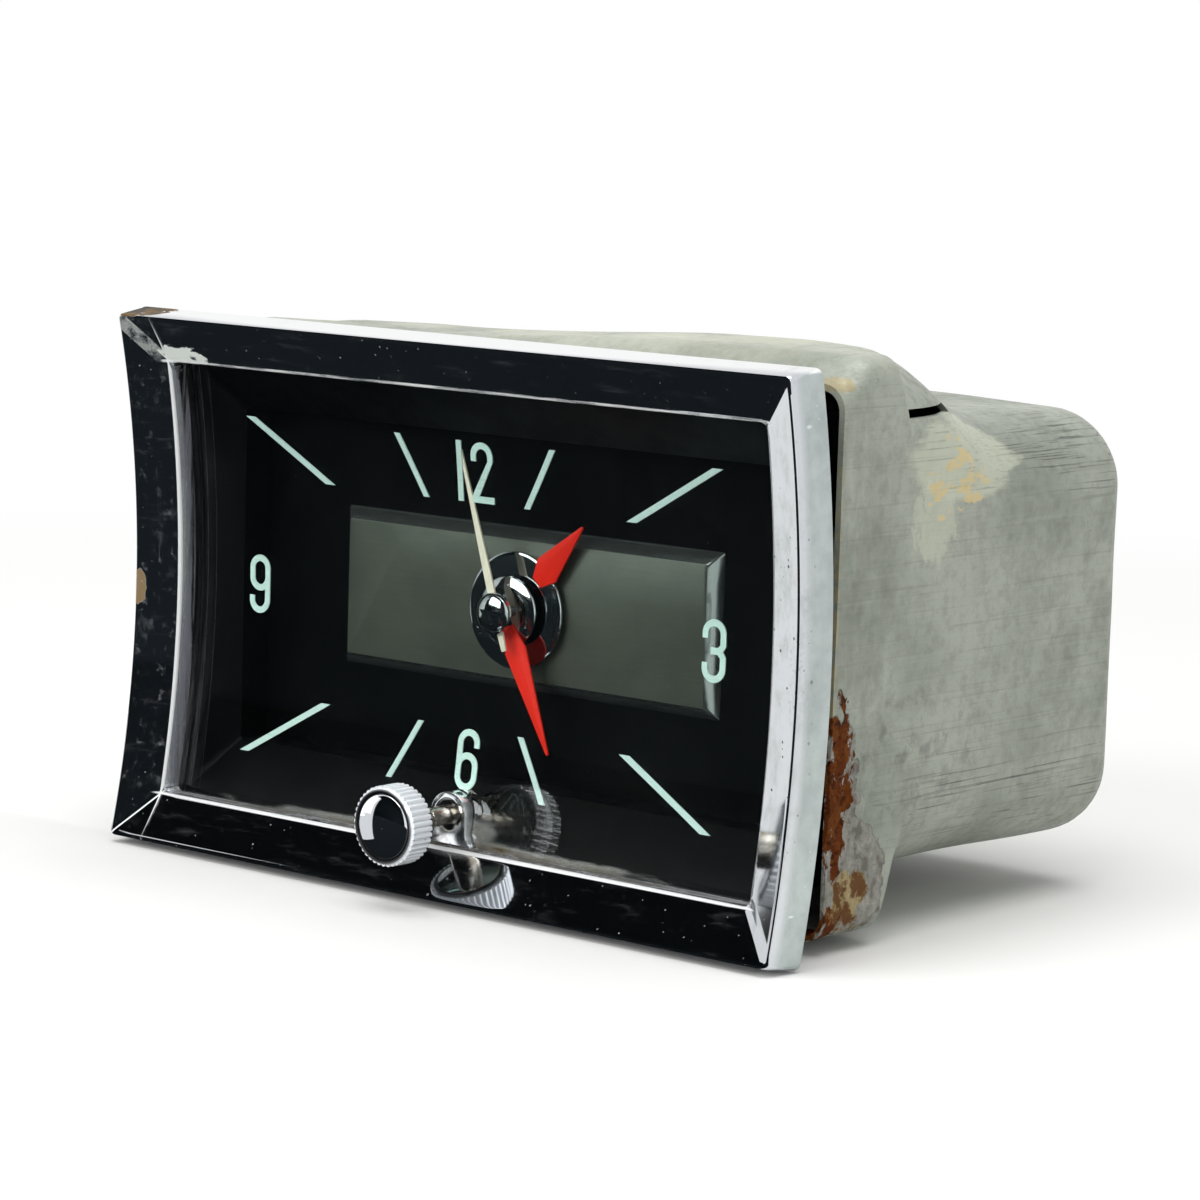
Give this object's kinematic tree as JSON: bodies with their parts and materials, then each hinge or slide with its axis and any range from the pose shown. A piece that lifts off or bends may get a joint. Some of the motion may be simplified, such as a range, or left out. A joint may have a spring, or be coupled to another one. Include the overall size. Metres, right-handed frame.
{
  "type": "car dashboard clock",
  "caption": "Rectangular car dashboard clock: bowed chrome bezel and glass, black dial with raised panel, hands on a wheel train, push-and-turn setting knob, zinc case with rear studs.",
  "frame": {"origin": "centre of the two mounting studs on the outer rear face of the case, on the axis of the hands", "axes": "+Y from the dial to the rear, along the hands' axis; +X to the right seen from the front; +Z to twelve"},
  "size_m": [0.1124, 0.1006, 0.0721],
  "materials": {
    "chrome": "polished plating",
    "tab_steel": "plated sheet",
    "glass": "clear",
    "bulb_glass": "clear",
    "gasket_rubber": "matte",
    "mint_paint": "printed paint",
    "black_mask": "satin",
    "black_dial": "satin",
    "panel_paint": "satin metallic",
    "brass": "lacquered",
    "steel": "machined",
    "stem_steel": "tarnished",
    "stud_steel": "zinc plated",
    "case_zinc": "dull zinc with stains and rust",
    "insulator": "moulded resin",
    "copper_wire": "enamelled wire",
    "soft_iron": "plain",
    "socket_tin": "tinned sheet",
    "red_paint": "matte",
    "cream_paint": "matte",
    "friction_leather": "plain"
  },
  "bodies": {
    "clock_case": {"bezel": "chrome", "bezel_tabs": "tab_steel", "lens": "glass", "lens_gasket": "gasket_rubber", "hour_batons": "mint_paint", "hour_numerals": "mint_paint", "stem_bush": "chrome", "dial_mask": "black_mask", "dial_plate": "black_dial", "dial_panel": "panel_paint", "dial_screws": "steel", "dial_feet": "brass", "front_plate": "brass", "rear_plate": "brass", "plate_pillars": "brass", "pillar_screws": "steel", "wheel_posts": "steel", "case_can": "case_zinc", "rear_posts": "steel", "case_screws": "steel", "mounting_studs": "stud_steel", "terminal_post": "brass", "terminal_insulator": "insulator", "terminal_nut": "brass", "magnet_coil": "copper_wire", "magnet_core": "soft_iron", "balance_cock": "brass", "cock_screw": "steel", "hairspring": "steel", "stem_spring": "steel", "lamp_socket": "socket_tin", "lamp_bulb": "bulb_glass"},
    "minute_arbor": {"cannon_pinion": "brass", "centre_wheel": "brass", "ratchet_wheel": "steel", "minute_boss": "chrome", "minute_hand": "red_paint"},
    "hour_pipe": {"hour_wheel": "brass", "hour_boss": "chrome", "hour_hand": "red_paint"},
    "minute_work": {"minute_wheel": "brass"},
    "setting_idler": {"setting_wheel": "brass"},
    "third": {"third_arbor": "steel", "third_wheel": "brass"},
    "seconds": {"seconds_arbor": "steel", "fourth_wheel": "brass", "seconds_hand": "cream_paint", "seconds_cap": "chrome"},
    "escape": {"escape_arbor": "steel", "escape_wheel": "brass"},
    "pallets": {"pallet_fork": "steel"},
    "balance": {"balance_staff": "steel", "balance_wheel": "brass"},
    "winder": {"winding_arm": "steel"},
    "stem_seat": {"stem_collar": "steel"},
    "knob_stem": {"setting_stem": "stem_steel", "friction_disc": "friction_leather", "setting_knob": "chrome", "knob_button": "chrome"}
  },
  "joints": [
    {"name": "minute_turn", "type": "hinge", "parent": "clock_case", "child": "minute_arbor", "pos_m": [0, 0, 0], "axis": [0, 1, 0], "continuous": true},
    {"name": "hour_turn", "type": "hinge", "parent": "clock_case", "child": "hour_pipe", "pos_m": [0, 0, 0], "axis": [0, 1, 0], "continuous": true},
    {"name": "minute_wheel_turn", "type": "hinge", "parent": "clock_case", "child": "minute_work", "pos_m": [0, 0, -0.00704], "axis": [0, 1, 0], "continuous": true},
    {"name": "setting_wheel_turn", "type": "hinge", "parent": "clock_case", "child": "setting_idler", "pos_m": [0, 0, -0.01759], "axis": [0, 1, 0], "continuous": true},
    {"name": "third_turn", "type": "hinge", "parent": "clock_case", "child": "third", "pos_m": [0, 0, 0.00864], "axis": [0, 1, 0], "continuous": true},
    {"name": "seconds_turn", "type": "hinge", "parent": "clock_case", "child": "seconds", "pos_m": [0, 0, 0], "axis": [0, 1, 0], "continuous": true},
    {"name": "escape_turn", "type": "hinge", "parent": "clock_case", "child": "escape", "pos_m": [0.00812, 0, -0.00296], "axis": [0, 1, 0], "continuous": true},
    {"name": "pallet_rock", "type": "hinge", "parent": "clock_case", "child": "pallets", "pos_m": [0.01272, 0, -0.00463], "axis": [0, 1, 0], "range_deg": [-6, 6]},
    {"name": "balance_swing", "type": "hinge", "parent": "clock_case", "child": "balance", "pos_m": [0.0193, 0, -0.00703], "axis": [0, 1, 0], "range_deg": [-220, 220], "stiffness_Nm_per_rad": 0.000006},
    {"name": "winding_stroke", "type": "hinge", "parent": "clock_case", "child": "winder", "pos_m": [0, 0, 0], "axis": [0, 1, 0], "range_deg": [0, 10]},
    {"name": "stem_push", "type": "slide", "parent": "clock_case", "child": "stem_seat", "axis": [0, 1, 0], "range_m": [0, 0.0017], "stiffness_N_per_m": 300, "springref_m": -0.003},
    {"name": "knob_turn", "type": "hinge", "parent": "stem_seat", "child": "knob_stem", "pos_m": [0, 0, -0.025], "axis": [0, 1, 0], "continuous": true}
  ],
  "couplings": [
    {"joint": "hour_turn", "follows": "minute_turn", "ratio": 0.083333},
    {"joint": "minute_wheel_turn", "follows": "minute_turn", "ratio": -0.33333},
    {"joint": "setting_wheel_turn", "follows": "minute_turn", "ratio": 0.33333},
    {"joint": "third_turn", "follows": "minute_turn", "ratio": -8},
    {"joint": "seconds_turn", "follows": "minute_turn", "ratio": 60},
    {"joint": "escape_turn", "follows": "minute_turn", "ratio": -480}
  ]
}
